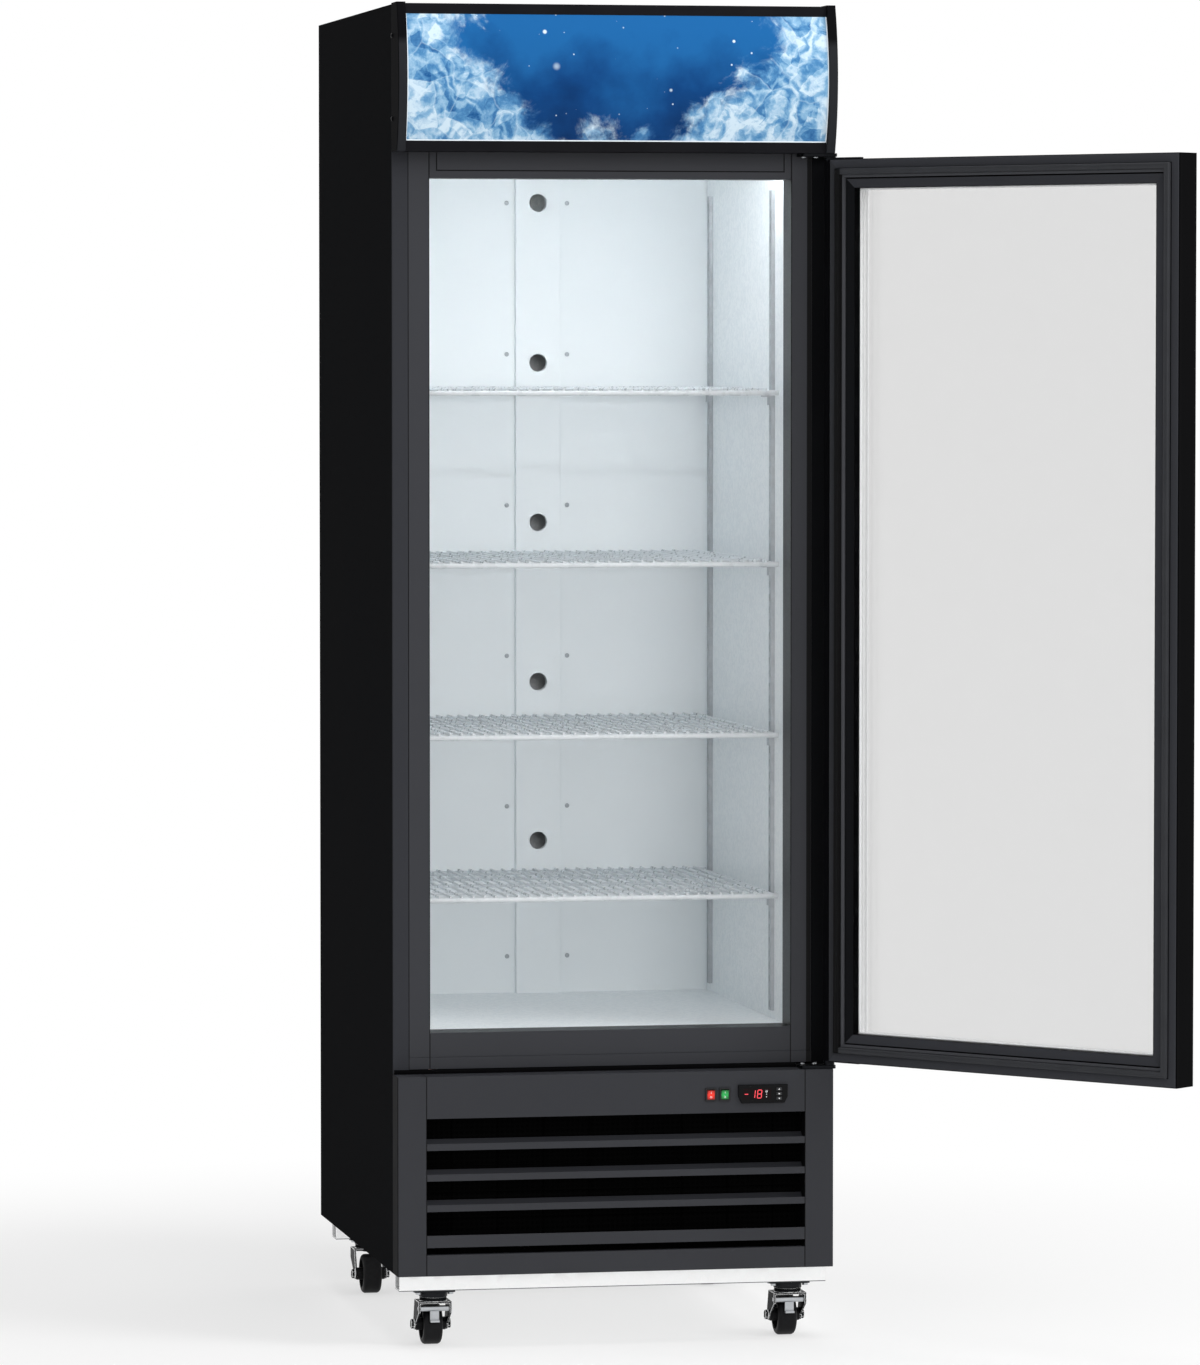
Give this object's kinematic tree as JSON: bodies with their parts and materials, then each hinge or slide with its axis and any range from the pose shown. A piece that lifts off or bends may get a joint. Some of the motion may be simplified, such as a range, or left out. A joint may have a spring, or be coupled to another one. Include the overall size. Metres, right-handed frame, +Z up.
{
  "type": "display freezer",
  "caption": "Upright display freezer with a hinged glass door, wire shelves, header light box, louvred machine bay and braked swivel casters.",
  "frame": {"origin": "on the floor under the middle of the insulated carcass, at the height the casters stand on", "axes": "+Z up, -Y out of the door opening, +X to the right seen from the front, where the hinges are"},
  "size_m": [1.1387, 1.299, 2.067],
  "materials": {
    "charcoal_steel": "satin",
    "black_steel": "satin",
    "galvanised": "satin",
    "foam": "matte",
    "liner_white": "satin",
    "black_plastic": "satin",
    "grey_plastic": "matte",
    "coated_wire": "gloss",
    "sign_acrylic": "gloss",
    "lamp_white": "satin",
    "red_lens": "gloss",
    "green_lens": "gloss",
    "dark_window": "gloss",
    "zinc_steel": "satin",
    "wheel_rubber": "satin",
    "door_profile": "satin",
    "gasket_rubber": "matte",
    "clear_glass": "gloss",
    "aluminium": "satin",
    "compressor_black": "gloss",
    "copper": "satin"
  },
  "bodies": {
    "cabinet": {"side_panels": "black_steel", "rear_panel": "galvanised", "rear_service_cover": "black_steel", "mains_gland": "black_plastic", "top_and_bay_roof": "black_steel", "base_pan": "galvanised", "insulation_foam": "foam", "inner_liner": "liner_white", "front_frame": "charcoal_steel", "breaker_strips": "black_plastic", "rear_air_panel": "liner_white", "ceiling_panel": "liner_white", "shelf_standards": "zinc_steel", "shelf_clips": "zinc_steel", "wire_shelves": "coated_wire", "header_end_caps": "black_plastic", "header_rails": "black_plastic", "sign_panel": "sign_acrylic", "header_reflector": "lamp_white", "led_lamps": "lamp_white", "corner_posts": "charcoal_steel", "control_band": "charcoal_steel", "lower_grille": "charcoal_steel", "switch_housings": "black_plastic", "controller_case": "black_plastic", "controller_window": "dark_window", "caster_beams": "galvanised", "caster_plates": "zinc_steel", "caster_bolts": "zinc_steel", "hinge_brackets": "zinc_steel", "condenser_coil": "aluminium", "evaporator_coil": "aluminium", "fan_mounts": "black_steel", "compressor": "compressor_black", "copper_pipes": "copper", "condensate_pan": "black_plastic", "electrical_box": "grey_plastic"},
    "door": {"door_frame": "door_profile", "door_gasket": "gasket_rubber", "glass_panes": "clear_glass", "glass_spacers": "aluminium", "door_handle": "black_plastic", "hinge_arms": "zinc_steel"},
    "rocker_red": {"rocker_red": "red_lens"},
    "rocker_green": {"rocker_green": "green_lens"},
    "condenser_fan": {"condenser_fan_blade": "grey_plastic"},
    "evaporator_fan": {"evaporator_fan_blade": "grey_plastic"},
    "button_1": {"controller_button_1": "black_plastic"},
    "button_2": {"controller_button_2": "black_plastic"},
    "button_3": {"controller_button_3": "black_plastic"},
    "caster_front_left": {"caster_fork_front_left": "zinc_steel"},
    "wheel_front_left": {"caster_wheel_front_left": "wheel_rubber"},
    "brake_front_left": {"brake_pedal_front_left": "zinc_steel"},
    "caster_front_right": {"caster_fork_front_right": "zinc_steel"},
    "wheel_front_right": {"caster_wheel_front_right": "wheel_rubber"},
    "brake_front_right": {"brake_pedal_front_right": "zinc_steel"},
    "caster_rear_left": {"caster_fork_rear_left": "zinc_steel"},
    "wheel_rear_left": {"caster_wheel_rear_left": "wheel_rubber"},
    "caster_rear_right": {"caster_fork_rear_right": "zinc_steel"},
    "wheel_rear_right": {"caster_wheel_rear_right": "wheel_rubber"}
  },
  "joints": [
    {"name": "door_hinge", "type": "hinge", "parent": "cabinet", "child": "door", "pos_m": [0.3385, -0.407, 1.13], "axis": [0, 0, 1], "range_deg": [-131, 0]},
    {"name": "rocker_red_tilt", "type": "hinge", "parent": "cabinet", "child": "rocker_red", "pos_m": [0.148, -0.422, 0.386], "axis": [1, 0, 0], "range_deg": [-16, 0]},
    {"name": "rocker_green_tilt", "type": "hinge", "parent": "cabinet", "child": "rocker_green", "pos_m": [0.17, -0.422, 0.386], "axis": [1, 0, 0], "range_deg": [-16, 0]},
    {"name": "button_1_press", "type": "slide", "parent": "cabinet", "child": "button_1", "axis": [0, 1, 0], "range_m": [0, 0.0008], "stiffness_N_per_m": 300},
    {"name": "button_2_press", "type": "slide", "parent": "cabinet", "child": "button_2", "axis": [0, 1, 0], "range_m": [0, 0.0008], "stiffness_N_per_m": 300},
    {"name": "button_3_press", "type": "slide", "parent": "cabinet", "child": "button_3", "axis": [0, 1, 0], "range_m": [0, 0.0008], "stiffness_N_per_m": 300},
    {"name": "swivel_front_left", "type": "hinge", "parent": "cabinet", "child": "caster_front_left", "pos_m": [-0.28, -0.374, 0.075], "axis": [0, 0, 1], "continuous": true},
    {"name": "wheel_front_left_spin", "type": "hinge", "parent": "caster_front_left", "child": "wheel_front_left", "pos_m": [-0.28, -0.35, 0.03175], "axis": [1, 0, 0], "continuous": true},
    {"name": "brake_front_left_press", "type": "hinge", "parent": "caster_front_left", "child": "brake_front_left", "pos_m": [-0.28, -0.387, 0.06], "axis": [1, 0, 0], "range_deg": [0, 11]},
    {"name": "swivel_front_right", "type": "hinge", "parent": "cabinet", "child": "caster_front_right", "pos_m": [0.28, -0.374, 0.075], "axis": [0, 0, 1], "continuous": true},
    {"name": "wheel_front_right_spin", "type": "hinge", "parent": "caster_front_right", "child": "wheel_front_right", "pos_m": [0.28, -0.35, 0.03175], "axis": [1, 0, 0], "continuous": true},
    {"name": "brake_front_right_press", "type": "hinge", "parent": "caster_front_right", "child": "brake_front_right", "pos_m": [0.28, -0.387, 0.06], "axis": [1, 0, 0], "range_deg": [0, 11]},
    {"name": "swivel_rear_left", "type": "hinge", "parent": "cabinet", "child": "caster_rear_left", "pos_m": [-0.28, 0.271, 0.075], "axis": [0, 0, 1], "continuous": true},
    {"name": "wheel_rear_left_spin", "type": "hinge", "parent": "caster_rear_left", "child": "wheel_rear_left", "pos_m": [-0.28, 0.247, 0.03175], "axis": [1, 0, 0], "continuous": true},
    {"name": "swivel_rear_right", "type": "hinge", "parent": "cabinet", "child": "caster_rear_right", "pos_m": [0.28, 0.271, 0.075], "axis": [0, 0, 1], "continuous": true},
    {"name": "wheel_rear_right_spin", "type": "hinge", "parent": "caster_rear_right", "child": "wheel_rear_right", "pos_m": [0.28, 0.247, 0.03175], "axis": [1, 0, 0], "continuous": true},
    {"name": "condenser_fan_spin", "type": "hinge", "parent": "cabinet", "child": "condenser_fan", "pos_m": [0.09, -0.2933, 0.251], "axis": [0, 1, 0], "continuous": true},
    {"name": "evaporator_fan_spin", "type": "hinge", "parent": "cabinet", "child": "evaporator_fan", "pos_m": [0, -0.0995, 1.9156], "axis": [0, 1, 0], "continuous": true}
  ]
}
